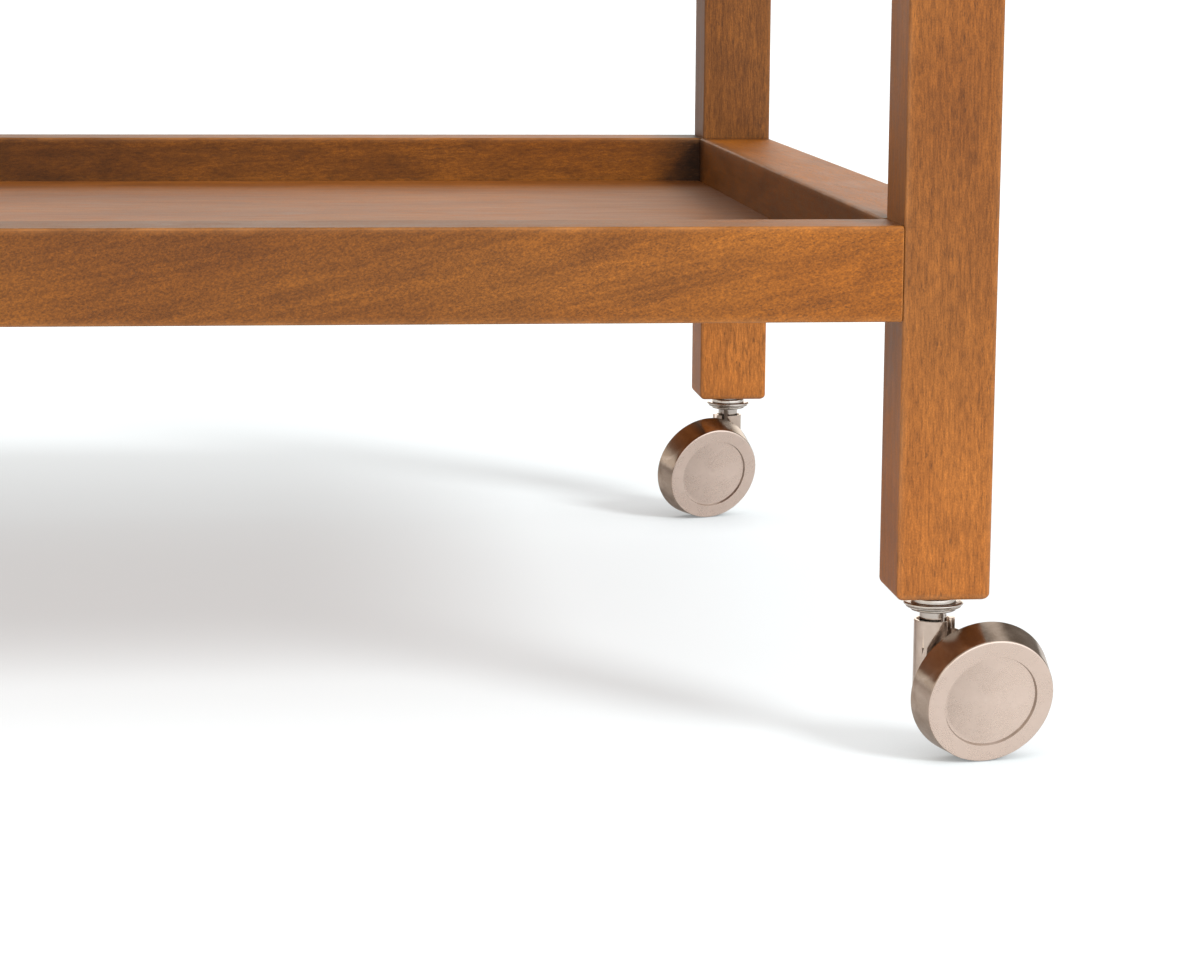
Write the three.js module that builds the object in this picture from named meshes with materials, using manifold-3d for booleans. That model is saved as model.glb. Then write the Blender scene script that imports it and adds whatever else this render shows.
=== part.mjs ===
// Two-tray wooden serving cart on four inclined-disc swivel casters.
// Millimetres, +Z up, front of the cart towards -Y, floor at Z = 0.
import * as THREE from 'three'
import { mergeVertices } from 'three/addons/utils/BufferGeometryUtils.js'
import Module from 'manifold-3d'

const wasm = await Module()
wasm.setup()

// Cart
const cartWidth = 760
const cartDepth = 520
const cartHeight = 800
const legSize = 32
const legEdge = 1
const legEndEdge = 2.6
const railHeight = 32
const crossRailThick = 29
const sideRailThick = 33.5
const railEdge = 1
const railEndEdge = 0.6
const lowerTrayTop = 185
const trayDepth = 20.5
const panelThick = 8.5
const tongueDrop = 2.5
const grooveDepth = 6
const grooveGap = 0.3
const jointGap = 0.1

// Loose tenons that lock each rail end to its leg
const tenonThick = 8
const tenonHeight = 20
const tenonInLeg = 10
const tenonInRail = 16

// Caster
const casterHeight = 58
const wheelRadius = 25.4
const wheelDepth = 11
const wheelTilt = THREE.MathUtils.degToRad(13.5)
const wheelTrail = 15.6
const faceForward = 16.3
const frontHeading = THREE.MathUtils.degToRad(9.7)
const rearHeading = THREE.MathUtils.degToRad(19)
const faceRadius = wheelRadius - wheelDepth * Math.tan(wheelTilt)
const faceHeight = faceRadius * Math.cos(wheelTilt)
const dishRadius = 16.6
const dishStep = 0.5
const dishDeep = 1.5
const rimWall = 2.6
const faceWall = 2.3
const treadEdge = 0.5
const hubRadius = 6.4
const bushRadius = 4.2
const axleRadius = 2.5
const socketRadius = 5.9
const socketDepth = 32
const flangeThick = 1.2
const pintleRadius = 4.6
const pintleFoot = -29
const collarRadius = 10.3
const collarHubRadius = 7.7
const collarTop = -2.9
const collarRim = -3.6
const collarFoot = -6.3
const sleeveRadius = 6.5
const sleeveInner = 5.7
const sleeveTop = -9.3
const sleeveBottom = -37
const mouthDepth = 4
const seamWidth = 2.8
const seamFoot = -20
const seamHeading = THREE.MathUtils.degToRad(-49)
const earTop = -8.9
const earFoot = -14
const earReach = 1.2
const finTop = -12.4
const finShoulder = -15.6
const finFoot = -26
const finReach = 4.8
const sheetThick = 2.2
const lobeRadius = 7.2
const bossRadius = 4.8
const axleHeadRadius = 4.2
const washerRadius = 5.4
const wheelRoomGap = 0.9
const wheelRoomDepth = 3.2
const runGap = 0.15
const boreGap = 0.25
const wheelSteps = 36
const sleeveSteps = 20
const pinSteps = 16

// Positions along the wheel axle, counted back from the wheel's front face
const hubFront = -dishDeep - faceWall + 0.1
const axleFront = hubFront - 0.2
const hubBack = -8.6
const bushBack = -9.3
const washerBack = -10.1
const webFront = -15.6
const webBack = -18
const axleHeadBack = -19.8

const wood = { color: 0xb0703a, roughness: 0.55 }
const panelWood = { color: 0xa5734a, roughness: 0.6 }
const paleWood = { color: 0xd8b98a, roughness: 0.7 }
const nickel = { color: 0xcdbfb4, roughness: 0.3, metalness: 1 }
const zinc = { color: 0xc4c2be, roughness: 0.35, metalness: 1 }
const nylon = { color: 0xe8e4da, roughness: 0.6 }

const cart = new THREE.Group()
cart.name = 'serving_cart'

// A closed body from a three.js geometry.
function solid(geometry) {
  const bare = geometry.clone()
  bare.deleteAttribute('normal')
  bare.deleteAttribute('uv')
  const merged = mergeVertices(bare, 1e-4)
  return new wasm.Manifold(new wasm.Mesh({
    numProp: 3,
    vertProperties: new Float32Array(merged.attributes.position.array),
    triVerts: new Uint32Array(merged.index.array),
  }))
}

// Adds a finished body to the cart as one named piece.
function piece(name, body, look) {
  const data = body.getMesh()
  const geometry = new THREE.BufferGeometry()
  geometry.setAttribute('position', new THREE.BufferAttribute(new Float32Array(data.vertProperties), 3))
  geometry.setIndex(new THREE.BufferAttribute(new Uint32Array(data.triVerts), 1))
  geometry.computeVertexNormals()
  const mesh = new THREE.Mesh(geometry, new THREE.MeshStandardMaterial(look))
  mesh.name = name
  cart.add(mesh)
}

// A rectangle outline with rounded corners, centred on the origin.
function roundedOutline(width, height, radius, steps = 2) {
  const shape = new THREE.Shape()
  const corners = [[1, 1, 0], [-1, 1, 1], [-1, -1, 2], [1, -1, 3]]
  const points = []
  for (const [sx, sy, quarter] of corners) {
    for (let i = 0; i <= steps; i += 1) {
      const angle = (quarter + i / steps) * Math.PI / 2
      points.push(new THREE.Vector2(
        sx * (width / 2 - radius) + radius * Math.cos(angle),
        sy * (height / 2 - radius) + radius * Math.sin(angle),
      ))
    }
  }
  shape.setFromPoints(points)
  return shape
}

// An outline pushed along +Z from z0 to z1.
function prism(shape, z0, z1) {
  const geometry = new THREE.ExtrudeGeometry(
    shape, { depth: z1 - z0, bevelEnabled: false, curveSegments: 6 })
  geometry.translate(0, 0, z0)
  return geometry
}

// A box between two corners.
function block(low, high) {
  const geometry = new THREE.BoxGeometry(high[0] - low[0], high[1] - low[1], high[2] - low[2])
  geometry.translate((high[0] + low[0]) / 2, (high[1] + low[1]) / 2, (high[2] + low[2]) / 2)
  return solid(geometry)
}

// A turned body about +Z from radius and height pairs, started with a vertex towards -Y.
function turned(profile, steps) {
  const points = profile.map(([r, z]) => new THREE.Vector2(r, z))
  const geometry = new THREE.LatheGeometry(points, steps)
  geometry.rotateX(Math.PI / 2)
  return solid(geometry)
}

// A plain cylinder about +Z.
function rod(radius, z0, z1, steps) {
  return turned([[0, z0], [radius, z0], [radius, z1], [0, z1]], steps)
}

// Directions in which a rail runs; a rail outline is drawn across and up, then pushed along.
const alongX = new THREE.Matrix4().makeBasis(
  new THREE.Vector3(0, 1, 0), new THREE.Vector3(0, 0, 1), new THREE.Vector3(1, 0, 0))
const alongY = new THREE.Matrix4().makeBasis(
  new THREE.Vector3(-1, 0, 0), new THREE.Vector3(0, 0, 1), new THREE.Vector3(0, 1, 0))

function bar(shape, length, along, x, y, z) {
  const geometry = prism(shape, -length / 2, length / 2)
  geometry.applyMatrix4(along)
  geometry.translate(x, y, z)
  return solid(geometry)
}

// A timber: a box whose edges along X, Y and Z are rounded by the three radii.
function timber(size, radii, centre) {
  const [sx, sy, sz] = size
  const [rx, ry, rz] = radii
  const plan = prism(roundedOutline(sx, sy, rz), -sz / 2, sz / 2)
  plan.translate(...centre)
  return solid(plan)
    .intersect(bar(roundedOutline(sy, sz, rx), sx, alongX, ...centre))
    .intersect(bar(roundedOutline(sx, sz, ry), sy, alongY, ...centre))
}

// Layout
const legX = cartWidth / 2 - legSize / 2
const legY = cartDepth / 2 - legSize / 2
const crossLength = cartWidth - 2 * legSize - 2 * jointGap
const sideLength = cartDepth - 2 * legSize - 2 * jointGap
const crossY = cartDepth / 2 - crossRailThick / 2
const sideX = cartWidth / 2 - sideRailThick / 2
const trays = [['lower', lowerTrayTop], ['upper', cartHeight]]
const ends = [['left', -1], ['right', 1]]
const sides = [['front', -1], ['rear', 1]]

// Tenons: an upright lozenge bar, and the slightly larger mortise for it
const tenonLength = tenonInLeg + tenonInRail
const tenonShape = roundedOutline(tenonThick, tenonHeight, tenonThick / 2 - 0.01, 3)
const mortiseShape = roundedOutline(
  tenonThick + 2 * jointGap, tenonHeight + 2 * jointGap, tenonThick / 2, 3)
const tenonShift = (tenonInRail - tenonInLeg) / 2

// Where each tenon sits for a corner of the cart, seen from the leg
function tenonSeat(kind, sx, sy, top) {
  const z = top - railHeight / 2
  const inner = legX - legSize / 2
  const innerY = legY - legSize / 2
  if (kind === 'cross') {
    return { along: alongX, x: sx * (inner - tenonShift), y: sy * crossY, z }
  }
  return { along: alongY, x: sx * sideX, y: sy * (innerY - tenonShift), z }
}

function tenonBody(kind, sx, sy, top, shape, length) {
  const seat = tenonSeat(kind, sx, sy, top)
  return bar(shape, length, seat.along, seat.x, seat.y, seat.z)
}

// Legs
for (const [side, sy] of sides) {
  for (const [end, sx] of ends) {
    const height = cartHeight - casterHeight
    const middle = casterHeight + height / 2
    const x = sx * legX
    const y = sy * legY
    let leg = timber(
      [legSize, legSize, height], [legEndEdge, legEndEdge, legEdge], [x, y, middle])
    const bore = rod(socketRadius + boreGap, -1, socketDepth + 1, pinSteps)
    leg = leg.subtract(bore.translate([x, y, casterHeight]))
    for (const [, top] of trays) {
      for (const kind of ['cross', 'side']) {
        leg = leg.subtract(
          tenonBody(kind, sx, sy, top, mortiseShape, tenonLength + 2 * jointGap))
      }
    }
    piece(`leg_${side}_${end}`, leg, wood)
  }
}

// Trays: rails, floor panels and tenons
for (const [level, top] of trays) {
  const z = top - railHeight / 2
  const floorTop = top - trayDepth
  const groove = block(
    [-(cartWidth / 2 - sideRailThick) - grooveDepth - grooveGap,
      -(cartDepth / 2 - crossRailThick) - grooveDepth - grooveGap,
      floorTop - panelThick - grooveGap],
    [cartWidth / 2 - sideRailThick + grooveDepth + grooveGap,
      cartDepth / 2 - crossRailThick + grooveDepth + grooveGap,
      floorTop - tongueDrop + grooveGap])

  for (const [side, sy] of sides) {
    let rail = timber(
      [crossLength, crossRailThick, railHeight], [railEdge, railEndEdge, railEndEdge],
      [0, sy * crossY, z]).subtract(groove)
    for (const [, sx] of ends) {
      rail = rail.subtract(
        tenonBody('cross', sx, sy, top, mortiseShape, tenonLength + 2 * jointGap))
    }
    piece(`${level}_rail_${side}`, rail, wood)
  }

  for (const [end, sx] of ends) {
    let rail = timber(
      [sideRailThick, sideLength, railHeight], [railEndEdge, railEdge, railEndEdge],
      [sx * sideX, 0, z]).subtract(groove)
    for (const [, sy] of sides) {
      rail = rail.subtract(
        tenonBody('side', sx, sy, top, mortiseShape, tenonLength + 2 * jointGap))
    }
    piece(`${level}_rail_${end}`, rail, wood)
  }

  const openX = cartWidth / 2 - sideRailThick - jointGap
  const openY = cartDepth / 2 - crossRailThick - jointGap
  const tongueX = openX + jointGap + grooveDepth
  const tongueY = openY + jointGap + grooveDepth
  let panel = block(
    [-tongueX, -tongueY, floorTop - panelThick],
    [tongueX, tongueY, floorTop - tongueDrop])
    .add(block([-openX, -openY, floorTop - panelThick], [openX, openY, floorTop]))
  for (const [, sx] of ends) {
    for (const [, sy] of sides) {
      const reach = legSize / 2 + grooveGap
      panel = panel.subtract(block(
        [sx * legX - reach, sy * legY - reach, floorTop - 2 * panelThick],
        [sx * legX + reach, sy * legY + reach, floorTop + panelThick]))
    }
  }
  piece(`${level}_panel`, panel, panelWood)

  for (const [side, sy] of sides) {
    for (const [end, sx] of ends) {
      for (const kind of ['cross', 'side']) {
        piece(`${level}_tenon_${kind}_${side}_${end}`,
          tenonBody(kind, sx, sy, top, tenonShape, tenonLength), paleWood)
      }
    }
  }
}

// Caster pieces about the pintle axis, with the leg's underside at Z = 0. The wheel's
// face looks towards -Y and the wheel trails to +X.
const wheelFrame = new THREE.Matrix4()
  .makeTranslation(wheelTrail, -faceForward, faceHeight - casterHeight)
  .multiply(new THREE.Matrix4().makeRotationX(Math.PI / 2 + wheelTilt))
const onWheel = (body) => body.transform(wheelFrame.elements)

// Socket: a steel tube with a thin flange, pushed into the leg
const socket = turned([
  [pintleRadius + runGap, -flangeThick],
  [sleeveRadius - 0.2, -flangeThick],
  [sleeveRadius - 0.2, -jointGap],
  [socketRadius, -jointGap],
  [socketRadius, socketDepth],
  [pintleRadius + runGap, socketDepth],
  [pintleRadius + runGap, -flangeThick],
], pinSteps)

// Pintle: a pin with a saucer collar under the leg and a chamfered upper end
const pintle = turned([
  [0, pintleFoot],
  [pintleRadius - 1, pintleFoot],
  [pintleRadius, pintleFoot + 1],
  [pintleRadius, collarFoot],
  [collarRadius - 2.6, collarFoot + 0.3],
  [collarRadius - 0.9, collarRim - 0.9],
  [collarRadius, collarRim],
  [collarRadius - 0.2, collarRim + 0.5],
  [collarHubRadius, collarTop],
  [collarHubRadius - 0.3, -flangeThick - 0.2],
  [pintleRadius, -flangeThick - 0.2],
  [pintleRadius, socketDepth - 4],
  [pintleRadius - 1.2, socketDepth - 2.2],
  [0, socketDepth - 2.2],
], sleeveSteps)

// Horn: a rolled sleeve round the pintle, a fin, and an inclined web that holds the axle
const sleeveTube = turned([
  [0, sleeveBottom],
  [sleeveRadius - 1, sleeveBottom],
  [sleeveRadius, sleeveBottom + 1],
  [sleeveRadius, sleeveTop - 0.3],
  [sleeveRadius - 0.3, sleeveTop],
  [0, sleeveTop],
], sleeveSteps)
const seam = block([0, -seamWidth / 2, seamFoot], [sleeveRadius + 1, seamWidth / 2, 0])
  .transform(new THREE.Matrix4().makeRotationZ(seamHeading).elements)
const wheelRoom = onWheel(
  rod(wheelRadius + wheelRoomGap, -wheelDepth - wheelRoomDepth, casterHeight, wheelSteps))

// The web's outline, in the plane of the wheel, from the hub to the sleeve
const webLeft = -wheelTrail - sleeveRadius + 1.2
const webShape = new THREE.Shape()
webShape.moveTo(webLeft, 3 - lobeRadius)
webShape.lineTo(webLeft / 4, -lobeRadius)
webShape.absarc(0, 0, lobeRadius, -1.9, 2.2, false)
webShape.lineTo(-wheelTrail + 4, 16)
webShape.lineTo(webLeft, 14)
webShape.closePath()
const web = onWheel(solid(prism(webShape, webBack, webFront)))
const boss = onWheel(rod(bossRadius, webFront - 1, washerBack - 0.2, pinSteps))
const finShape = new THREE.Shape()
finShape.moveTo(1 - sleeveRadius, finFoot)
finShape.lineTo(1 - sleeveRadius, finTop)
finShape.lineTo(-sleeveRadius - finReach / 2, (3 * finTop + finShoulder) / 4)
finShape.lineTo(-sleeveRadius - finReach, finShoulder)
finShape.lineTo(-sleeveRadius - finReach, finFoot)
finShape.closePath()
const fin = bar(finShape, sheetThick, alongY, 0, 0, 0)
const ear = block(
  [sleeveRadius - 1, -sheetThick / 2, earFoot],
  [sleeveRadius + earReach, sheetThick / 2, earTop])
const pintleRoom = turned([
  [0, pintleFoot - 0.4],
  [pintleRadius + runGap, pintleFoot - 0.4],
  [pintleRadius + runGap, sleeveTop - mouthDepth - 0.6],
  [sleeveInner, sleeveTop - mouthDepth],
  [sleeveInner, 0],
  [0, 0],
], sleeveSteps)
const axleRoom = onWheel(rod(axleRadius + runGap, axleHeadBack, 0, pinSteps))
const horn = sleeveTube
  .subtract(seam)
  .add(fin)
  .add(ear)
  .subtract(wheelRoom)
  .add(web)
  .add(boss)
  .subtract(pintleRoom)
  .subtract(axleRoom)

// Axle: a pin with a riveted head behind the web
const axle = onWheel(turned([
  [0, axleHeadBack],
  [axleHeadRadius - 1, axleHeadBack],
  [axleHeadRadius, axleHeadBack + 0.8],
  [axleHeadRadius, webBack - runGap],
  [axleRadius, webBack - runGap],
  [axleRadius, axleFront - 0.5],
  [axleRadius - 0.6, axleFront],
  [0, axleFront],
], pinSteps))

// Washer between the web's boss and the wheel
const washer = onWheel(turned([
  [axleRadius + runGap, washerBack],
  [washerRadius, washerBack],
  [washerRadius, bushBack - runGap],
  [axleRadius + runGap, bushBack - runGap],
  [axleRadius + runGap, washerBack],
], pinSteps))

// Bush: a nylon liner with a flange, in the wheel's hub
const bush = onWheel(turned([
  [axleRadius + runGap, bushBack],
  [hubRadius - 0.2, bushBack],
  [hubRadius - 0.2, hubBack - jointGap],
  [bushRadius - jointGap, hubBack - jointGap],
  [bushRadius - jointGap, axleFront],
  [axleRadius + runGap, axleFront],
  [axleRadius + runGap, bushBack],
], pinSteps))

// Wheel: a dished cup whose tread is a cone that lies flat on the floor
const wheel = onWheel(turned([
  [0, -dishDeep],
  [0.5 * dishRadius, -dishDeep + 0.25],
  [0.85 * dishRadius, -dishDeep + 0.75],
  [dishRadius - 0.5, -dishStep - 0.05],
  [dishRadius, 0],
  [faceRadius - treadEdge, 0],
  [faceRadius + treadEdge * Math.tan(wheelTilt), -treadEdge],
  [wheelRadius - treadEdge * Math.tan(wheelTilt), treadEdge - wheelDepth],
  [wheelRadius - treadEdge, -wheelDepth],
  [wheelRadius - rimWall, -wheelDepth],
  [faceRadius - rimWall, -faceWall - 1.2],
  [faceRadius - rimWall - 1.2, -faceWall],
  [dishRadius, -faceWall],
  [hubRadius + 1, hubFront + 0.1],
  [hubRadius, hubFront - 0.7],
  [hubRadius, hubBack],
  [bushRadius, hubBack],
  [bushRadius, hubFront],
  [0, hubFront],
].reverse(), wheelSteps))

// The right-hand casters trail opposite ways; the left-hand ones mirror them
const mirror = new THREE.Matrix4().makeScale(-1, 1, 1)
for (const [side, sy] of sides) {
  for (const [end, sx] of ends) {
    const place = new THREE.Matrix4().makeTranslation(legX, sy * legY, casterHeight)
    place.multiply(new THREE.Matrix4().makeRotationZ(sy < 0 ? frontHeading : rearHeading))
    if (sy > 0) {
      place.multiply(mirror)
    }
    if (sx < 0) {
      place.premultiply(mirror)
    }
    const tag = `${side}_${end}`
    const put = (body) => body.transform(place.elements)
    piece(`socket_${tag}`, put(socket), zinc)
    piece(`pintle_${tag}`, put(pintle), zinc)
    piece(`horn_${tag}`, put(horn), nickel)
    piece(`axle_${tag}`, put(axle), zinc)
    piece(`washer_${tag}`, put(washer), nylon)
    piece(`bush_${tag}`, put(bush), nylon)
    piece(`wheel_${tag}`, put(wheel), nickel)
  }
}

export default cart
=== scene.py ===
import math

import bmesh
import bpy
from mathutils import Matrix, Vector


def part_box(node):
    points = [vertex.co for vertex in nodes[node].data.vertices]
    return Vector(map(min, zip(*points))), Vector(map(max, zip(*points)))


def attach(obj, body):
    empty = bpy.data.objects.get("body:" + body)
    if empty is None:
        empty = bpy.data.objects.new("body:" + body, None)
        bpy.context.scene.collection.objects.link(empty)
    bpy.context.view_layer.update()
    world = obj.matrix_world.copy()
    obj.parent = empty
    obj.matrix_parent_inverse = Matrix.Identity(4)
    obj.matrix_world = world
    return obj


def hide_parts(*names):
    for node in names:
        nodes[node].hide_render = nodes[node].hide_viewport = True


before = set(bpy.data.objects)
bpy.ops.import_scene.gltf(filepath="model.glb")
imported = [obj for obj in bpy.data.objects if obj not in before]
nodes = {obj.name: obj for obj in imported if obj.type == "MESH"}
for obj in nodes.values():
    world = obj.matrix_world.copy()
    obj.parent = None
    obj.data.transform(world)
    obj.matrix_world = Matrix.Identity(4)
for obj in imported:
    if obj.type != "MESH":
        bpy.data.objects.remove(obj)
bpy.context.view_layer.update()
MM = 0.001
scene = bpy.context.scene
scene.view_settings.view_transform = "Standard"
scene.view_settings.look = "None"

# ---------------------------------------------------------------- sizes, in millimetres
LEG_EDGE = 1.0  # rounding of a leg's long edges
LEG_END_EDGE = 2.6  # rounding round a leg's two ends
RAIL_EDGE = 1.0
RAIL_END_EDGE = 0.6
EDGE_STEPS = 5  # facets across a rounded edge
EDGE_SUPPORT = 1.6  # width of the narrow flat strip beside a rounded edge
CASTER_HEIGHT = 58.0  # from the floor to the underside of a leg
WHEEL_R = 25.4  # at the back of the tread, its widest place
WHEEL_DEPTH = 11.0
TILT = math.radians(13.5)  # how far a wheel's face looks down
TRAIL = 15.6  # from the swivel pin to the axle, sideways
FORWARD = 16.3  # from the swivel pin to the wheel's face
FACE_R = WHEEL_R - WHEEL_DEPTH * math.tan(TILT)
FACE_Z = FACE_R * math.cos(TILT)
HEADING = {"front": math.radians(9.7), "rear": math.radians(19.0)}  # each pair's turn at rest
DISH_R = 16.6  # edge of the recess in the wheel's face
DISH_STEPS = 12
DISH_RIM_Z = -1.25  # how deep its floor is at that edge
DISH_CROWN = 0.85  # how much deeper its middle is
WHEEL_STEPS = 160
PINTLE_R = 4.6
SLEEVE_R = 6.5  # the horn's sleeve outside
SLEEVE_IN = 5.7  # and inside
SLEEVE_TOP = -9.3  # below the underside of the leg
ROUND_STEPS = 96  # facets round a pintle or sleeve
PIN_STEPS = 48  # and round an axle
ROOM_STEPS = 128  # and round the room that the horn leaves for its wheel
BOOLEAN_BEVEL = 0.14  # rounding of the horn's cut edges

# ---------------------------------------------------------------- colours, linear
STAIN_DARK = (0.182, 0.058, 0.0085)
STAIN_MID = (0.215, 0.072, 0.0115)
STAIN_PALE = (0.250, 0.088, 0.0155)
PORE_COLOUR = (0.060, 0.023, 0.007)
WORN_AND_HIGHLIGHT_COLOUR = (0.40, 0.19, 0.075)  # the thin stain on rubbed edges, which also stands for a painted highlight along them
WHITE = (1.0, 1.0, 1.0)


# ---------------------------------------------------------------- material building blocks
class Net:
    """The node tree of a material or world, with short calls for the nodes it uses."""

    def __init__(self, owner):
        owner.use_nodes = True
        self.owner = owner
        self.tree = owner.node_tree
        self.tree.nodes.clear()

    def add(self, kind, inputs=None, **props):
        n = self.tree.nodes.new(kind)
        for k, v in props.items():
            setattr(n, k, v)
        for k, v in (inputs or {}).items():
            self.put(n.inputs[k], v)
        return n

    def put(self, socket, value):
        if isinstance(value, bpy.types.NodeSocket):
            self.tree.links.new(value, socket)
        else:
            socket.default_value = value

    def coords(self):
        return self.add("ShaderNodeTexCoord").outputs["Object"]

    def mapping(self, vector, location=(0, 0, 0), rotation=(0, 0, 0), scale=(1, 1, 1)):
        return self.add("ShaderNodeMapping", {
            "Vector": vector, "Location": location, "Rotation": rotation, "Scale": scale,
        }).outputs[0]

    def noise(self, vector, scale=1.0, detail=3.0, rough=0.5, distortion=0.0):
        return self.add("ShaderNodeTexNoise", {
            "Vector": vector, "Scale": scale, "Detail": detail, "Roughness": rough,
            "Distortion": distortion,
        }).outputs["Fac"]

    def ramp(self, fac, *stops):
        n = self.add("ShaderNodeValToRGB", {"Fac": fac})
        e = n.color_ramp.elements
        while len(e) < len(stops):
            e.new(0.5)
        for i, (at, colour) in enumerate(stops):
            e[i].position = at
            c = colour if isinstance(colour, tuple) else (colour,) * 3
            e[i].color = (*c[:3], 1)
        return n.outputs["Color"]

    def math(self, op, a, b=0.0):
        return self.add("ShaderNodeMath", {0: a, 1: b}, operation=op).outputs[0]

    def mix(self, fac, a, b, blend="MIX"):
        n = self.add("ShaderNodeMix", data_type="RGBA", blend_type=blend)
        self.put(n.inputs[0], fac)
        for socket, value in ((n.inputs[6], a), (n.inputs[7], b)):
            if isinstance(value, tuple):
                value = (*value[:3], 1)
            self.put(socket, value)
        return n.outputs[2]

    def attribute(self, name):
        return self.add("ShaderNodeAttribute", attribute_name=name).outputs["Fac"]

    def bump(self, height, distance, strength):
        return self.add("ShaderNodeBump", {
            "Height": height, "Distance": distance, "Strength": strength}).outputs[0]

    def finish(self, **inputs):
        """Ends a material in a Principled shader; an input's spaces are written as underscores."""
        bsdf = self.add("ShaderNodeBsdfPrincipled")
        for k, v in inputs.items():
            k = k.replace("_", " ")
            if isinstance(v, tuple) and len(v) == 3:
                v = (*v, 1)
            self.put(bsdf.inputs[k], v)
        self.add("ShaderNodeOutputMaterial", {"Surface": bsdf.outputs[0]})
        return self.owner


# how to turn a timber's coordinates so that its grain runs along Z
TURN = {"X": (0, -math.pi / 2, 0), "Y": (math.pi / 2, 0, 0), "Z": (0, 0, 0)}


def wood(name, axis, seed, tone=1.0, lean=0.0, speckle=0.3, pores=1.0, grey=0.0, tone_and_shade_fades=()):
    """Stained, satin-lacquered hardwood with its grain along one axis of the cart. lean tips the
    grain, speckle shortens its flecks, and each fade is an axis, two distances along it from
    the cart's middle or the floor, and how much paler (over 1) or darker the wood is at each.
    Some fades are the stain's own tone and some are painted shade, as said where they are given."""
    n = Net(bpy.data.materials.new(name))
    turn = list(TURN[axis])
    turn[1] += lean
    base = n.mapping(n.coords(), (seed * 0.731, seed * 0.417, seed * 0.293), tuple(turn))
    broad = n.noise(n.mapping(base, scale=(24, 24, 8)), 1.0, 2.0, 0.5, 0.4)
    blotch = n.noise(n.mapping(base, scale=(95, 95, 34)), 1.0, 3.0, 0.6, 0.8)
    streak = n.noise(n.mapping(base, scale=(520, 520, 30)), 1.0, 3.0, 0.55, 0.25)
    fleck = n.noise(n.mapping(base, scale=(1500, 1500, 150 + 900 * speckle)), 1.0, 2.0, 0.6)
    grit = n.noise(n.mapping(base, scale=(2600, 2600, 1500)), 1.0, 2.0, 0.6)
    dashes = n.noise(n.mapping(base, scale=(1350, 1350, 250 + 350 * speckle)), 1.0, 1.0, 0.5)
    patch = n.noise(n.mapping(base, scale=(110, 110, 40)), 1.0, 2.0, 0.5)

    def toned(r, g, b):
        """The colour in this timber's own tone and greyness."""
        m = (r + g + b) / 3
        return tuple(tone * (c * (1 - grey) + m * grey) for c in (r, g, b))

    colour = n.ramp(broad, (0.3, toned(*STAIN_DARK)), (0.5, toned(*STAIN_MID)),
                    (0.7, toned(*STAIN_PALE)))
    for layer, dark, pale in ((blotch, 0.86, 1.10), (streak, 0.84, 1.15), (fleck, 0.68, 1.28),
                              (grit, 0.76, 1.21)):
        colour = n.mix(1.0, colour, n.ramp(layer, (0.3, (dark, dark * 0.985, dark * 0.97)),
                                           (0.7, (pale, pale * 1.01, pale * 1.03))), "MULTIPLY")
    # each fade multiplies the colour along one axis: some are the stain's own tone, some painted shade
    for across, near, far, at_near, at_far in tone_and_shade_fades:
        place = n.add("ShaderNodeSeparateXYZ", {"Vector": n.coords()}).outputs[across]
        wavy = n.math("ADD", n.math("ABSOLUTE", place), n.math("MULTIPLY", blotch, (far - near) / 2))
        factor = n.add("ShaderNodeMapRange", {
            "Value": wavy, "From Min": near, "From Max": far, "To Min": at_near,
            "To Max": at_far}).outputs[0]
        colour = n.mix(1.0, colour, factor, "MULTIPLY")
    dash = n.ramp(dashes, (0.62, 0.0), (0.70, 1.0))
    where = n.ramp(patch, (0.42, 0.15), (0.60, 1.0))
    pore = n.math("MULTIPLY", n.math("MULTIPLY", dash, where), 0.62 * pores)
    colour = n.mix(pore, colour, toned(*PORE_COLOUR))
    # paler rounded edges: partly rubbed stain, partly a painted highlight
    rubbed_and_highlit = n.math("MULTIPLY", n.attribute("edge"),
                  n.ramp(n.noise(n.mapping(base, scale=(160, 160, 60)), 1.0, 3.0),
                         (0.36, 0.14), (0.70, 0.40)))
    colour = n.mix(rubbed_and_highlit, colour, toned(*WORN_AND_HIGHLIGHT_COLOUR))
    rough = n.ramp(n.math("ADD", n.math("MULTIPLY", fleck, 0.5), n.math("MULTIPLY", blotch, 0.5)),
                   (0.3, 0.44), (0.7, 0.60))
    relief = n.math("SUBTRACT", n.math("ADD", n.math("MULTIPLY", fleck, 0.3),
                                       n.math("MULTIPLY", streak, 0.3)), pore)
    return n.finish(Base_Color=colour, Roughness=rough, Normal=n.bump(relief, 0.00010, 0.5),
                    Specular_IOR_Level=0.25)


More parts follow.
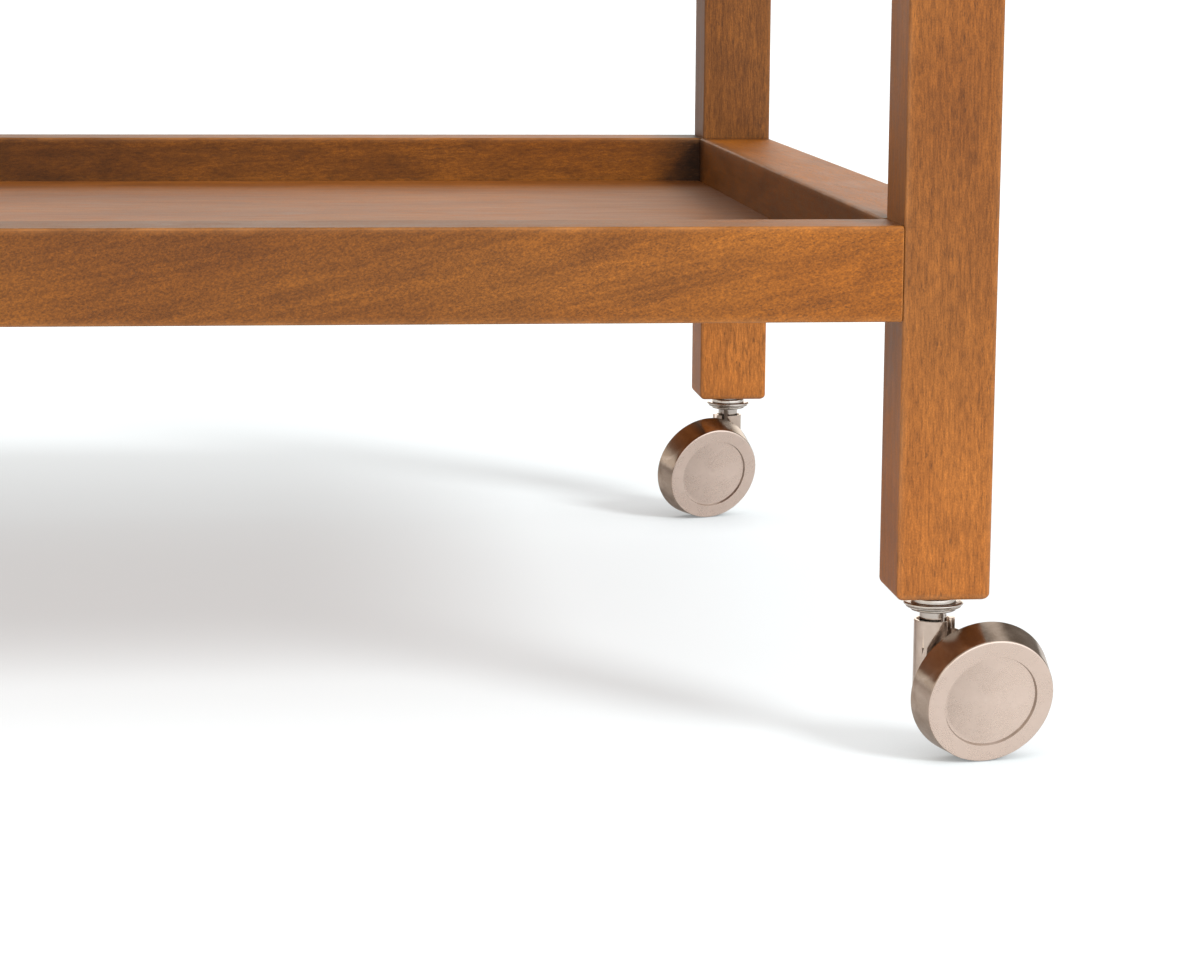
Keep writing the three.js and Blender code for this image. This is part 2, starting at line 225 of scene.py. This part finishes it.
def metal(name, colour, rough, grit=1.0, turned=False, anisotropic=0.0, mottle=0.12, recess_shade=1.0):
    """Plated steel with a fine grain, faint tarnish and, on turned parts, tool rings. The recess
    shade, for turned parts only, is how dark the painted shade on one side of a wheel's recess
    is; the other side gets a faint painted highlight."""
    n = Net(bpy.data.materials.new(name))
    p = n.coords()
    speck = n.noise(n.mapping(p, scale=(2600, 2600, 2600)), 1.0, 3.0, 0.6)
    cloud = n.noise(n.mapping(p, scale=(130, 130, 130)), 1.0, 4.0, 0.6, 0.5)
    tint = n.ramp(cloud, (0.3, (1 - mottle, 1 - 1.15 * mottle, 1 - 1.3 * mottle)), (0.7, WHITE))
    base = n.mix(1.0, n.mix(1.0, tint, colour, "MULTIPLY"),
                 n.ramp(speck, (0.3, 0.97), (0.7, 1.015)), "MULTIPLY")
    roughness = n.ramp(n.math("ADD", n.math("MULTIPLY", speck, 0.4), n.math("MULTIPLY", cloud, 0.6)),
                       (0.25, rough * 0.8), (0.75, min(1.0, rough * 1.3)))
    height = n.math("MULTIPLY", speck, 0.4 * grit)
    if turned:
        split = n.add("ShaderNodeSeparateXYZ", {"Vector": p})
        flat = n.add("ShaderNodeCombineXYZ", {"X": split.outputs[0], "Y": split.outputs[1]})
        radius = n.add("ShaderNodeVectorMath", {0: flat.outputs[0]},
                       operation="LENGTH").outputs["Value"]
        rings = n.add("ShaderNodeCombineXYZ", {"X": n.math("MULTIPLY", radius, 3200)})
        ring = n.noise(rings.outputs[0], 1.0, 2.0, 0.6)
        height = n.math("ADD", height, n.math("MULTIPLY", ring, 0.05))
    # painted shade and highlight: one side of the wheel's recess darker, the other a little paler,
    # standing in for its uneven reflection
    if recess_shade < 1.0:
        inside = n.add("ShaderNodeMapRange", {
            "Value": radius, "From Min": (DISH_R - 1.4) * MM, "From Max": DISH_R * MM, "To Min": 1.0,
            "To Max": 0.0})
        along = n.math("ADD", split.outputs[0], n.math("MULTIPLY", cloud, 0.012))
        across = n.add("ShaderNodeMapRange", {"Value": along, "From Min": -0.012, "From Max": 0.024})
        side = n.ramp(across.outputs[0], (0.0, (recess_shade, recess_shade * 0.99, recess_shade * 0.98)), (0.6, 1.02),
                      (1.0, 1.05))
        base = n.mix(inside.outputs[0], base, n.mix(1.0, base, side, "MULTIPLY"))
    inputs = dict(Base_Color=base, Metallic=1.0, Roughness=roughness,
                  Normal=n.bump(height, 0.00003, 0.5))
    if anisotropic:
        inputs["Anisotropic"] = anisotropic
        inputs["Tangent"] = n.add("ShaderNodeTangent", direction_type="RADIAL", axis="Z").outputs[0]
    return n.finish(**inputs)


def plastic(name, colour):
    """Moulded plastic with a fine, uneven skin."""
    n = Net(bpy.data.materials.new(name))
    p = n.coords()
    grain = n.noise(n.mapping(p, scale=(1800, 1800, 1800)), 1.0, 3.0, 0.6)
    base = n.mix(1.0, colour, n.ramp(grain, (0.3, 0.92), (0.7, 1.04)), "MULTIPLY")
    return n.finish(Base_Color=base, Roughness=n.ramp(grain, (0.3, 0.42), (0.7, 0.55)),
                    Normal=n.bump(grain, 0.00004, 0.3))


# ---------------------------------------------------------------- mesh building blocks
def new_object(name, mesh, matrix=None):
    obj = bpy.data.objects.new(name, mesh)
    scene.collection.objects.link(obj)
    if matrix is not None:
        obj.matrix_world = matrix
    return obj


def shade(mesh, degrees=35):
    mesh.polygons.foreach_set("use_smooth", [True] * len(mesh.polygons))
    mesh.set_sharp_from_angle(angle=math.radians(degrees))
    mesh.update()


def lathe(name, profile, steps, paint=None):
    """A body of revolution about +Z from (radius, height) pairs in millimetres; paint gives the
    material index of the band that starts at each pair."""
    verts, rings = [], []
    for r, z in profile:
        if r < 1e-6:
            rings.append([len(verts)])
            verts.append((0, 0, z * MM))
        else:
            rings.append(list(range(len(verts), len(verts) + steps)))
            for i in range(steps):
                a = 2 * math.pi * i / steps - math.pi / 2
                verts.append((r * MM * math.cos(a), r * MM * math.sin(a), z * MM))
    faces, slots = [], []
    for k in range(len(rings) - 1):
        a, b = rings[k], rings[k + 1]
        for i in range(steps):
            j = (i + 1) % steps
            if len(a) == 1 and len(b) == 1:
                continue
            if len(a) == 1:
                faces.append((a[0], b[j], b[i]))
            elif len(b) == 1:
                faces.append((a[i], a[j], b[0]))
            else:
                faces.append((a[i], a[j], b[j], b[i]))
            slots.append(paint(k) if paint else 0)
    mesh = bpy.data.meshes.new(name)
    mesh.from_pydata(verts, [], faces)
    mesh.polygons.foreach_set("material_index", slots)
    outward(mesh)
    shade(mesh)
    return mesh


def outward(mesh):
    """Turns every face of a closed mesh outwards."""
    bm = bmesh.new()
    bm.from_mesh(mesh)
    bmesh.ops.recalc_face_normals(bm, faces=bm.faces)
    bm.to_mesh(mesh)
    bm.free()


def box_mesh(name, low, high):
    """A block between two corners in millimetres, used only to cut and join."""
    bm = bmesh.new()
    bmesh.ops.create_cube(bm, size=1.0)
    for v in bm.verts:
        v.co = [((low[i] + high[i]) / 2 + v.co[i] * (high[i] - low[i])) * MM for i in range(3)]
    mesh = bpy.data.meshes.new(name)
    bm.to_mesh(mesh)
    bm.free()
    return mesh


def slab_mesh(name, outline, z0, z1):
    """A flat plate between two heights, from its outline in millimetres."""
    n = len(outline)
    verts = [(x * MM, y * MM, z0 * MM) for x, y in outline]
    verts += [(x * MM, y * MM, z1 * MM) for x, y in outline]
    faces = [tuple(range(n))[::-1], tuple(range(n, 2 * n))]
    faces += [(i, (i + 1) % n, n + (i + 1) % n, n + i) for i in range(n)]
    mesh = bpy.data.meshes.new(name)
    mesh.from_pydata(verts, [], faces)
    outward(mesh)
    return mesh


def timber(node, axis, long_edge, end_edge, material):
    """A rounded timber that stands for a CAD leg or rail and fills the same box. Its point
    attribute, edge, says how much paler each point is painted: partly rubbed wear, partly a
    painted highlight along the rounded edges."""
    low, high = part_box(node)
    i_long = "XYZ".index(axis)
    i_u, i_v = [i for i in range(3) if i != i_long]
    half_u = (high[i_u] - low[i_u]) / 2
    half_v = (high[i_v] - low[i_v]) / 2
    centre = (low + high) / 2
    r, e, support = long_edge * MM, end_edge * MM, EDGE_SUPPORT * MM

    def section(inset):
        """The points round one cross-section, as distances from the middle, and their wear and painted
        highlight.
        """
        hu, hv = half_u - inset, half_v - inset
        out = []
        for su, sv, q in ((1, 1, 0), (-1, 1, 1), (-1, -1, 2), (1, -1, 3)):
            part = []
            for k in range(EDGE_STEPS + 1):
                a = (q + k / EDGE_STEPS) * math.pi / 2
                wear_and_highlight = math.sin(math.pi * (k + 0.7) / (EDGE_STEPS + 1.4))
                part.append((su * (hu - r) + r * math.cos(a), sv * (hv - r) + r * math.sin(a), wear_and_highlight))
            before, after = part[0], part[-1]
            a0, a1 = q * math.pi / 2, (q + 1) * math.pi / 2
            out.append((before[0] + support * math.sin(a0), before[1] - support * math.cos(a0), 0))
            out += part
            out.append((after[0] - support * math.sin(a1), after[1] + support * math.cos(a1), 0))
        return out

    # each station is how far a section is inset, how far it is from the end, and its wear and painted
    # highlight
    stations = [(e * (1 - math.sin(k / EDGE_STEPS * math.pi / 2)),
                 e * (1 - math.cos(k / EDGE_STEPS * math.pi / 2)),
                 math.sin(k / EDGE_STEPS * math.pi)) for k in range(EDGE_STEPS + 1)]
    stations.append((0.0, e + support, 0.0))
    length = high[i_long] - low[i_long]
    rows = stations + [(inset, length - at, w) for inset, at, w in reversed(stations)]
    verts, wear_and_highlight = [], []
    for inset, at, w in rows:
        for u, v, ws in section(inset):
            p = [0.0, 0.0, 0.0]
            p[i_long] = low[i_long] + at
            p[i_u] = centre[i_u] + u
            p[i_v] = centre[i_v] + v
            verts.append(p)
            wear_and_highlight.append(max(w, ws))
    n = len(section(0.0))
    faces = [tuple(range(n))[::-1]]
    for k in range(len(rows) - 1):
        for i in range(n):
            j = (i + 1) % n
            faces.append((k * n + i, k * n + j, (k + 1) * n + j, (k + 1) * n + i))
    last = (len(rows) - 1) * n
    faces.append(tuple(range(last, last + n)))
    mesh = bpy.data.meshes.new(f"{node}_timber")
    mesh.from_pydata(verts, [], faces)
    outward(mesh)
    attribute = mesh.attributes.new("edge", "FLOAT", "POINT")
    attribute.data.foreach_set("value", wear_and_highlight)
    shade(mesh, 40)
    mesh.materials.append(material)
    obj = new_object(mesh.name, mesh)
    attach(obj, "cart_frame")
    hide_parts(node)


def cut_together(name, base, steps):
    """Joins and cuts closed bodies with exact booleans and returns the resulting mesh."""
    work = new_object(name, base)
    helpers = []
    for k, (kind, mesh, matrix) in enumerate(steps):
        helper = new_object(f"{name}_{k}", mesh, matrix)
        helpers.append(helper)
        m = work.modifiers.new(f"b{k}", "BOOLEAN")
        m.operation = kind
        m.solver = "EXACT"
        m.object = helper
    bevel = work.modifiers.new("edges", "BEVEL")
    bevel.width = BOOLEAN_BEVEL * MM
    bevel.segments = 2
    bevel.limit_method = "ANGLE"
    bevel.angle_limit = math.radians(48)
    bpy.context.view_layer.update()
    graph = bpy.context.evaluated_depsgraph_get()
    made = bpy.data.meshes.new_from_object(work.evaluated_get(graph))
    for o in [work, *helpers]:
        bpy.data.objects.remove(o)
    shade(made, 38)
    return made


# ---------------------------------------------------------------- finishes
nickel_face = metal("nickel_face", (0.695, 0.59, 0.53), 0.27, grit=0.05, turned=True,
                    anisotropic=0.7, mottle=0.05, recess_shade=0.78)
nickel_tread = metal("nickel_tread", (0.53, 0.455, 0.395), 0.18, grit=0.5, mottle=0.38)
nickel_horn = metal("nickel_horn", (0.62, 0.54, 0.48), 0.17, grit=0.4, mottle=0.22)
# the darker, rougher nickel of the wheel's hollow back, also put on the recess's wall as painted shade
nickel_inside_and_wall_shade = metal("nickel_inside_and_wall_shade", (0.46, 0.40, 0.36), 0.42, mottle=0.25)
zinc = metal("zinc_plate", (0.60, 0.58, 0.555), 0.16, grit=0.6, turned=True, mottle=0.14)
nylon = plastic("nylon", (0.62, 0.60, 0.54))
tenon_wood = wood("tenon_beech", "X", 40.0, 2.6, speckle=0.2, pores=0.3, grey=0.25)

# ---------------------------------------------------------------- legs, rails and tray floors
# each leg's tone, its seed, and how much paler its foot is; the rear legs' darker tone and much paler
# feet are partly painted shade, where the upper tray shades them, and partly the stain's own tone
LEGS = {"leg_front_right": (0.65, 3.1, 1.45), "leg_rear_right": (0.44, 5.7, 2.35),
        "leg_front_left": (0.65, 8.3, 1.45), "leg_rear_left": (0.45, 11.9, 2.30)}
for node, (tone, seed, foot) in LEGS.items():
    look = wood(f"wood_{node}", "Z", seed, tone, lean=0.015, speckle=0.05, pores=0.8, grey=-0.02,
                tone_and_shade_fades=(("Z", 0.105, 0.165, foot, 1.0), ("Z", 0.22, 0.30, 1.0, 1.12)))
    timber(node, "Z", LEG_EDGE, LEG_END_EDGE, look)

# each rail's axis, seed, tone, lean and speckle
RAILS = {"lower_rail_front": ("X", 21.4, 0.92, 0.20, 0.9),
         "lower_rail_rear": ("X", 24.9, 0.95, 0.05, 0.3),
         "lower_rail_left": ("Y", 27.2, 0.92, 0.03, 0.2),
         "lower_rail_right": ("Y", 30.6, 0.92, 0.03, 0.2),
         "upper_rail_front": ("X", 33.3, 0.97, 0.10, 0.5),
         "upper_rail_rear": ("X", 36.8, 1.0, 0.06, 0.3),
         "upper_rail_left": ("Y", 39.1, 0.98, 0.03, 0.2),
         "upper_rail_right": ("Y", 42.5, 0.98, 0.03, 0.2)}
# painted shade: the lower tray's rails are darker on their inner faces and in the corners, and the
# rear rail towards its middle, where the upper tray shades it
SIDE_PAINTED_SHADE = (("Y", 0.214, 0.231, 1.0, 0.30), ("X", 0.3465, 0.353, 0.36, 1.0))
# the front rail's fade is the stain's own tone: darker in its middle, paler towards its ends
RAIL_TONE_AND_SHADE = {"lower_rail_front": (("X", 0.24, 0.37, 0.49, 0.79),),
         "lower_rail_rear": (("X", 0.05, 0.32, 0.45, 0.95), ("Y", 0.2312, 0.237, 0.46, 1.0),
                             ("X", 0.326, 0.347, 1.0, 0.22)),
         "lower_rail_left": SIDE_PAINTED_SHADE, "lower_rail_right": SIDE_PAINTED_SHADE}
for node, (axis, seed, tone, lean, speckle) in RAILS.items():
    look = wood(f"wood_{node}", axis, seed, tone, lean, speckle, grey=-0.08,
                tone_and_shade_fades=RAIL_TONE_AND_SHADE.get(node, ()))
    timber(node, axis, RAIL_EDGE, RAIL_END_EDGE, look)

# the CAD nodes that keep their shape get a material each
looks = {"tenon": tenon_wood, "socket": zinc, "bush": nylon, "washer": nylon}
# painted shade: each tray floor is darker towards its side rails
for level, seed in (("lower", 51.7), ("upper", 58.2)):
    looks[f"{level}_panel"] = wood(f"wood_{level}_panel", "X", seed, 0.90, speckle=0.1, pores=0.5,
                                   tone_and_shade_fades=(("X", 0.27, 0.346, 1.0, 0.74),))
for name, obj in nodes.items():
    for word, look in looks.items():
        if word in name:
            obj.data.materials.clear()
            obj.data.materials.append(look)

# ---------------------------------------------------------------- caster shapes
# from a wheel's own frame, whose +Z looks out of its face, to its caster's, whose origin is
# under the leg on the swivel pin
wheel_frame = (Matrix.Translation(Vector((TRAIL, -FORWARD, FACE_Z - CASTER_HEIGHT)) * MM)
               @ Matrix.Rotation(math.pi / 2 + TILT, 4, "X"))

# the face: a small pip, the recess, its steep wall and the flat ring round it
wheel_profile = [(0, -2.25), (0.8, -2.25), (1.3, -2.12)]
for k in range(1, DISH_STEPS + 1):
    r = 1.3 + (DISH_R - 1.9) * k / DISH_STEPS
    wheel_profile.append((r, DISH_RIM_Z - DISH_CROWN * (1 - (r / DISH_R) ** 2)))
wheel_profile += [(16.25, DISH_RIM_Z), (16.45, -1.2), (16.55, -1.02), (16.7, -0.36), (16.75, -0.19),
                  (16.83, -0.07), (16.97, -0.02), (17.25, 0.0), (19.5, 0.0), (FACE_R - 0.75, 0.0)]
FACE_BANDS = len(wheel_profile) + 1
SHADED_WALL_BANDS = range(FACE_BANDS - 10, FACE_BANDS - 6)  # the bands of the recess's wall, given the darker inside nickel as painted shade
# the rolled edge and the cone of the tread
wheel_profile += [(FACE_R - 0.35, -0.05), (FACE_R - 0.08, -0.22), (FACE_R + 0.10, -0.5)]
slope = math.tan(TILT)
wheel_profile += [(FACE_R - 0.02 + slope * d, -d) for d in (1.0, 2.5, 4.5, 6.5, 8.5, 10.2)]
wheel_profile += [(25.3, -10.7), (25.15, -10.92), (24.9, -WHEEL_DEPTH)]
TREAD_END = len(wheel_profile) - 1
# the hollow back with its hub
wheel_profile += [(23.0, -WHEEL_DEPTH), (22.75, -10.8), (20.15, -3.6), (19.6, -2.8), (18.9, -2.35),
                  (DISH_R, -2.3), (7.4, -3.55), (6.4, -4.4), (6.4, -8.5), (6.3, -8.6), (4.2, -8.6),
                  (4.2, -3.7), (0, -3.7)]


def wheel_paint(k):
    """Which of the wheel's three materials a band of its profile has; the recess's wall takes the
    darker inside one as painted shade.
    """
    if k in SHADED_WALL_BANDS or k >= TREAD_END:
        return 2
    return 0 if k < FACE_BANDS else 1


wheel_mesh = lathe("wheel_shell", wheel_profile, WHEEL_STEPS, wheel_paint)
for look in (nickel_face, nickel_tread, nickel_inside_and_wall_shade):
    wheel_mesh.materials.append(look)

# the pin with its two saucers under the leg
pintle_mesh = lathe("pintle_shell", [
    (0, -29), (PINTLE_R - 1, -29), (PINTLE_R, -28), (PINTLE_R, -6.6), (PINTLE_R + 0.15, -6.0),
    (PINTLE_R + 0.6, -6.3), (6.9, -6.2), (7.6, -6.0), (7.85, -5.75), (7.7, -5.5), (7.9, -5.35),
    (9.0, -5.0), (9.5, -4.7), (9.55, -4.5), (9.4, -4.35), (9.7, -4.2), (10.15, -3.9), (10.3, -3.6),
    (10.25, -3.3), (10.0, -3.1), (9.4, -3.05), (8.4, -3.15), (7.9, -3.1), (7.72, -2.9),
    (7.7, -1.8), (7.6, -1.5), (7.3, -1.4), (PINTLE_R, -1.4), (PINTLE_R, 28), (PINTLE_R - 1.2, 29.8),
    (0, 29.8)], ROUND_STEPS)
pintle_mesh.materials.append(zinc)

axle_mesh = lathe("axle_pin", [
    (0, -19.8), (1.6, -19.78), (2.8, -19.6), (3.6, -19.3), (4.05, -18.95), (4.2, -18.6), (4.2, -18.15),
    (2.5, -18.15), (2.5, -4.4), (1.9, -3.9), (0, -3.9)], PIN_STEPS)
axle_mesh.materials.append(zinc)

# the horn: a rolled sleeve with a seam, a fin and an ear, and the web that carries the axle
sleeve = lathe("sleeve", [
    (0, -37), (SLEEVE_R - 1.4, -37), (SLEEVE_R - 0.5, -36.6), (SLEEVE_R, -35.8),
    (SLEEVE_R, SLEEVE_TOP - 0.1), (SLEEVE_R - 0.1, SLEEVE_TOP), (0, SLEEVE_TOP)], ROUND_STEPS)
WEB_R, ARC_STEPS = 7.2, 24
arc_pts = [(WEB_R * math.cos(a), WEB_R * math.sin(a)) for a in
           [-1.9 + 4.1 * k / ARC_STEPS for k in range(ARC_STEPS + 1)]]
left = -TRAIL - SLEEVE_R + 1.2
web_outline = [(left, 3 - WEB_R), (left / 4, -WEB_R), *arc_pts, (-TRAIL + 4, 16), (left, 14)]
fin_outline = [(SLEEVE_R - 1, -26), (SLEEVE_R + 4.8, -26), (SLEEVE_R + 4.8, -15.6),
               (SLEEVE_R + 4.1, -14.5), (SLEEVE_R + 2.4, -13.2), (SLEEVE_R - 1, -12.4)]
seam_turn = Matrix.Rotation(math.radians(-49), 4, "Z")
horn_mesh = cut_together("horn_work", sleeve, [
    ("DIFFERENCE", box_mesh("seam", (0, -1.4, -20), (SLEEVE_R + 1, 1.4, 0)), seam_turn),
    ("UNION", slab_mesh("fin", fin_outline, -1.1, 1.1), Matrix.Rotation(math.pi / 2, 4, "X")),
    ("UNION", box_mesh("ear", (SLEEVE_R - 1, -1.1, -14), (SLEEVE_R + 1.2, 1.1, -8.9)), None),
    ("DIFFERENCE", lathe("room", [(0, -14.2), (26.3, -14.2), (26.3, 58), (0, 58)], ROOM_STEPS),
     wheel_frame),
    ("UNION", slab_mesh("web", web_outline, -18, -15.6), wheel_frame),
    ("UNION", lathe("boss", [(0, -16.6), (4.8, -16.6), (4.8, -10.5), (4.6, -10.3), (0, -10.3)],
                    PIN_STEPS), wheel_frame),
    ("DIFFERENCE", lathe("pintle_room", [
        (0, -29.4), (PINTLE_R + 0.15, -29.4), (PINTLE_R + 0.15, -13.9), (SLEEVE_IN, -13.3),
        (SLEEVE_IN, 0), (0, 0)], ROUND_STEPS), None),
    ("DIFFERENCE", lathe("axle_room", [(0, -19.8), (2.65, -19.8), (2.65, 0), (0, 0)], PIN_STEPS),
     wheel_frame),
])
horn_mesh.materials.clear()
horn_mesh.materials.append(nickel_horn)


# ---------------------------------------------------------------- casters in place
def stand_in(kind, tag, made_as, mesh, matrix, body):
    """Puts a caster's piece in place of its CAD node, riding on one body."""
    obj = new_object(f"{kind}_{tag}_{made_as}", mesh, matrix)
    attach(obj, body)
    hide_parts(f"{kind}_{tag}")


mirror = Matrix.Scale(-1, 4, (1, 0, 0))
for side in ("front", "rear"):
    low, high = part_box(f"leg_{side}_right")
    stem = Vector(((low.x + high.x) / 2, (low.y + high.y) / 2, CASTER_HEIGHT * MM))
    for end in ("left", "right"):
        tag = f"{side}_{end}"
        place = Matrix.Translation(stem) @ Matrix.Rotation(HEADING[side], 4, "Z")
        if side == "rear":
            place = place @ mirror
        if end == "left":
            place = mirror @ place
        # turned pieces are mirrored a second time, so that their matrix only turns and moves them
        flipped = place.determinant() < 0
        unflip = mirror if flipped else Matrix.Identity(4)
        on_axle = place @ wheel_frame @ unflip
        horn = horn_mesh.copy()
        horn.transform(place)
        if flipped:
            horn.flip_normals()
        stand_in("pintle", tag, "turned", pintle_mesh, place @ unflip, "cart_frame")
        stand_in("horn", tag, "rolled", horn, None, f"caster_{tag}")
        stand_in("axle", tag, "pin", axle_mesh, on_axle, f"caster_{tag}")
        stand_in("wheel", tag, "disc", wheel_mesh, on_axle, f"roller_{tag}")

# ---------------------------------------------------------------- floor, light and camera
# directions from the cart to the lamp, the room's pale side, the bright strip and the pale wall
KEY = Vector((0.52, -0.645, 0.495)).normalized()
FILL = Vector((-0.90, -0.40, 0.05)).normalized()
BAND = Vector((0.24, 0.60, 0.76)).normalized()
WALL = Vector((0.10, 0.96, 0.27)).normalized()

FLOOR_REACH = 60
FLOOR_DROP = 0.0002  # just under the wheels, so that they don't share its surface
CONTACT_REACH = 0.045  # how near a wheel the painted contact shadow darkens the floor's own glow
GLOW_SEEN, GLOW_MIRRORED, GLOW_BOUNCED = 0.485, 0.06, 0.55  # that glow, for each kind of ray
CAMERA_TINT = (0.73, 0.80, 0.84)  # takes the wood's warm light off the floor that the camera sees
ROOM_COLOUR, ROOM_STRENGTH = (1.0, 0.87, 0.76), 0.24
SUN_STRENGTH = 3.6
SUN_WIDTH = math.radians(16)
LENS = 96.215
CAMERA_PLACE = (0.13504, -1.30511, 0.27606)
YAW, PITCH, ROLL = (math.radians(a) for a in (6.1105, 9.4613, 0.386))

n = Net(bpy.data.materials.new("studio_floor"))
grain = n.noise(n.mapping(n.coords(), scale=(3, 3, 3)), 1.0, 3.0)
rays = n.add("ShaderNodeLightPath").outputs
paint = n.mix(1.0, n.ramp(grain, (0.3, 0.50), (0.7, 0.52)),
              n.mix(rays["Is Camera Ray"], WHITE, CAMERA_TINT), "MULTIPLY")
diffuse = n.add("ShaderNodeBsdfDiffuse", {"Color": paint})
glow_colour = n.mix(rays["Is Camera Ray"], (1.0, 0.99, 0.97), (0.97, 1.0, 1.02))
unseen = n.math("MULTIPLY", rays["Is Diffuse Ray"], GLOW_BOUNCED)
seen = n.add("ShaderNodeMapRange", {
    "Value": rays["Is Glossy Ray"], "To Min": GLOW_SEEN, "To Max": GLOW_MIRRORED}).outputs[0]
# painted contact shadow: ambient occlusion dims the floor's glow next to the wheels
near_by = n.add("ShaderNodeAmbientOcclusion", {"Distance": CONTACT_REACH}, samples=8).outputs["AO"]
painted_contact_shadow = n.ramp(near_by, (0.30, 0.45), (0.95, 1.0))
strength = n.math("ADD", n.math("MULTIPLY", seen, painted_contact_shadow), unseen)
glow = n.add("ShaderNodeEmission", {"Color": glow_colour, "Strength": strength})
both = n.add("ShaderNodeAddShader", {0: diffuse.outputs[0], 1: glow.outputs[0]})
n.add("ShaderNodeOutputMaterial", {"Surface": both.outputs[0]})
floor_mesh = bpy.data.meshes.new("studio_floor")
floor_mesh.from_pydata([(x * FLOOR_REACH, y * FLOOR_REACH, 0)
                        for x, y in ((-1, -1), (1, -1), (1, 1), (-1, 1))], [], [(0, 1, 2, 3)])
floor_mesh.materials.append(n.owner)
floor = new_object("studio_floor", floor_mesh)
floor.location.z = -FLOOR_DROP


scene.world = bpy.data.worlds.new("studio")
sky = Net(scene.world)
way = sky.add("ShaderNodeTexCoord").outputs["Generated"]
sky_rays = sky.add("ShaderNodeLightPath").outputs


def glow_towards(direction, start, full, gain, colour, mirrored=1.0):
    """A soft patch of light around one direction of the studio. It starts and is full at two
    cosines of the angle from there; mirrored is the part of it that reflections show."""
    facing = sky.add("ShaderNodeVectorMath", {0: way, 1: direction}, operation="DOT_PRODUCT")
    level = sky.add("ShaderNodeMapRange", {
        "Value": facing.outputs["Value"], "From Min": start, "From Max": full, "To Min": 0.0,
        "To Max": gain}, interpolation_type="SMOOTHSTEP")
    share = sky.add("ShaderNodeMapRange", {
        "Value": sky_rays["Is Glossy Ray"], "To Min": 1.0, "To Max": mirrored})
    return background(colour, sky.math("MULTIPLY", level.outputs[0], share.outputs[0]))


def background(colour, strength):
    return sky.add("ShaderNodeBackground", {"Color": (*colour, 1), "Strength": strength}).outputs[0]


light = background(ROOM_COLOUR, ROOM_STRENGTH)
for patch in (glow_towards(KEY, 0.25, 1.0, 1.75, WHITE),
              glow_towards(WALL, 0.88, 0.965, 1.75, (1.0, 0.925, 0.825)),
              glow_towards(FILL, 0.2, 1.0, 2.6, (1.0, 0.93, 0.84), 0.4),
              glow_towards(BAND, 0.955, 0.99, 0.9, (1.0, 0.95, 0.90))):
    light = sky.add("ShaderNodeAddShader", {0: light, 1: patch}).outputs[0]
# the camera itself sees a plain white background
shown = sky.add("ShaderNodeMixShader", {
    0: sky_rays["Is Camera Ray"], 1: light, 2: background(WHITE, 1.0)}).outputs[0]
sky.add("ShaderNodeOutputWorld", {0: shown})

key = bpy.data.lights.new("key", "SUN")
key.energy = SUN_STRENGTH
key.angle = SUN_WIDTH
key.color = (1.0, 0.985, 0.96)
key_object = bpy.data.objects.new("key", key)
scene.collection.objects.link(key_object)
key_object.visible_glossy = False
key_object.rotation_mode = "QUATERNION"
key_object.rotation_quaternion = KEY.to_track_quat("Z", "Y")

ahead = Vector((math.sin(YAW) * math.cos(PITCH), math.cos(YAW) * math.cos(PITCH), -math.sin(PITCH)))
level_right = Vector((math.cos(YAW), -math.sin(YAW), 0))
level_up = level_right.cross(ahead)
right = math.cos(ROLL) * level_right + math.sin(ROLL) * level_up
up = -math.sin(ROLL) * level_right + math.cos(ROLL) * level_up
camera = bpy.data.cameras.new("camera")
camera.sensor_width = 36
camera.lens = LENS
camera.clip_start = 0.05
camera.clip_end = 200
camera_object = bpy.data.objects.new("camera", camera)
scene.collection.objects.link(camera_object)
turned = Matrix((right, up, -ahead)).transposed().to_4x4()
camera_object.matrix_world = Matrix.Translation(CAMERA_PLACE) @ turned
scene.camera = camera_object
